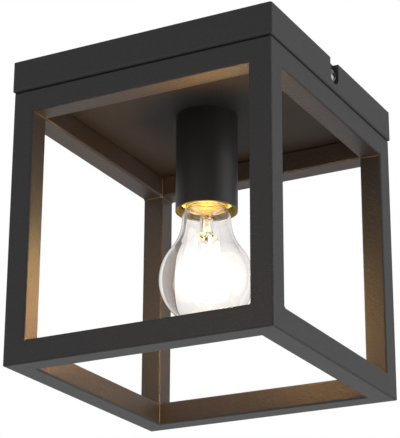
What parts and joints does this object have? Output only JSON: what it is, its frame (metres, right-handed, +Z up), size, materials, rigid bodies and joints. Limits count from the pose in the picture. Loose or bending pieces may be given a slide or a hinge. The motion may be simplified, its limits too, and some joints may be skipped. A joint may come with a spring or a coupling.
{
  "type": "ceiling lantern",
  "caption": "Square flush ceiling lantern: black folded canopy over an open tube cage, with a cylindrical lampholder cover and a clear globe bulb.",
  "frame": {"origin": "centre of the ceiling contact plane, between the two ceiling screw slots of the bracket", "axes": "+Z up into the ceiling, the lamp hangs towards -Z; +X towards the wall of the canopy with the right side screw; -Y is the front"},
  "size_m": [0.182, 0.182, 0.2],
  "materials": {
    "black_powder_coat": "fine textured satin powder coat",
    "zinc_plated_sheet": "zinc plated sheet steel",
    "bright_zinc_hardware": "bright zinc plate",
    "yellow_passivated_steel": "yellow passivated steel",
    "brass": "bright brass",
    "tinned_copper": "tinned copper and solder",
    "glazed_ceramic": "glazed steatite ceramic, opaque",
    "white_nylon": "natural white nylon",
    "brown_insulation": "brown heat resistant insulation",
    "blue_insulation": "blue heat resistant insulation",
    "green_yellow_insulation": "green and yellow insulation",
    "black_glass": "black insulator glass, opaque",
    "nickel_cap": "nickel plated brass cap",
    "clear_glass": "clear soda glass",
    "led_phosphor": "yellow phosphor over light chips, lit warm white",
    "nickel_wire": "bare nickel wire"
  },
  "bodies": {
    "bracket": {"ceiling_bracket": "zinc_plated_sheet"},
    "right_washer": {"side_washer_right": "bright_zinc_hardware"},
    "right_screw": {"side_screw_right": "bright_zinc_hardware"},
    "left_washer": {"side_washer_left": "bright_zinc_hardware"},
    "left_screw": {"side_screw_left": "bright_zinc_hardware"},
    "fixture": {"canopy": "black_powder_coat", "top_rail_front": "black_powder_coat", "top_rail_right": "black_powder_coat", "top_rail_back": "black_powder_coat", "top_rail_left": "black_powder_coat", "bottom_rail_front": "black_powder_coat", "bottom_rail_right": "black_powder_coat", "bottom_rail_back": "black_powder_coat", "bottom_rail_left": "black_powder_coat", "post_front_left": "black_powder_coat", "post_front_right": "black_powder_coat", "post_back_left": "black_powder_coat", "post_back_right": "black_powder_coat", "cage_screws": "bright_zinc_hardware", "lampholder_cup": "black_powder_coat", "nipple": "yellow_passivated_steel", "nipple_nuts": "bright_zinc_hardware", "nipple_washer": "bright_zinc_hardware", "holder_bridge": "zinc_plated_sheet", "bridge_screws": "bright_zinc_hardware", "lampholder_body": "glazed_ceramic", "socket_shell": "brass", "centre_contact": "brass", "live_terminal": "brass", "neutral_terminal": "brass", "terminal_screws": "bright_zinc_hardware", "terminal_block": "white_nylon", "block_clamps": "brass", "block_screws": "bright_zinc_hardware", "plate_studs": "yellow_passivated_steel", "block_nut": "bright_zinc_hardware", "earth_nut": "bright_zinc_hardware", "earth_lug": "tinned_copper", "live_wire": "brown_insulation", "neutral_wire": "blue_insulation", "earth_wire": "green_yellow_insulation"},
    "bulb_contact": {"contact_tip": "tinned_copper"},
    "bulb": {"cap_insulator": "black_glass", "bulb_cap": "nickel_cap", "bulb_glass": "clear_glass", "glass_stem": "clear_glass", "led_filaments": "led_phosphor", "filament_wires": "nickel_wire"}
  },
  "joints": [
    {"name": "fixture_drop", "type": "slide", "parent": "bracket", "child": "fixture", "axis": [0, 0, -1], "range_m": [0, 0.045]},
    {"name": "right_screw_travel", "type": "slide", "parent": "bracket", "child": "right_washer", "axis": [1, 0, 0], "range_m": [0, 0.0056]},
    {"name": "right_screw_turn", "type": "hinge", "parent": "right_washer", "child": "right_screw", "pos_m": [0.088, 0, -0.01], "axis": [1, 0, 0], "range_deg": [0, 2880]},
    {"name": "left_screw_travel", "type": "slide", "parent": "bracket", "child": "left_washer", "axis": [-1, 0, 0], "range_m": [0, 0.0056]},
    {"name": "left_screw_turn", "type": "hinge", "parent": "left_washer", "child": "left_screw", "pos_m": [-0.088, 0, -0.01], "axis": [-1, 0, 0], "range_deg": [0, 2880]},
    {"name": "bulb_travel", "type": "slide", "parent": "fixture", "child": "bulb_contact", "axis": [0, 0, -1], "range_m": [0, 0.02177]},
    {"name": "bulb_turn", "type": "hinge", "parent": "bulb_contact", "child": "bulb", "pos_m": [0, 0, -0.057], "axis": [0, 0, -1], "range_deg": [0, 2160]}
  ],
  "couplings": [
    {"joint": "right_screw_turn", "follows": "right_screw_travel", "rad_per_m": 8976},
    {"joint": "left_screw_turn", "follows": "left_screw_travel", "rad_per_m": 8976},
    {"joint": "bulb_travel", "follows": "bulb_turn", "m_per_rad": 0.00057741}
  ]
}
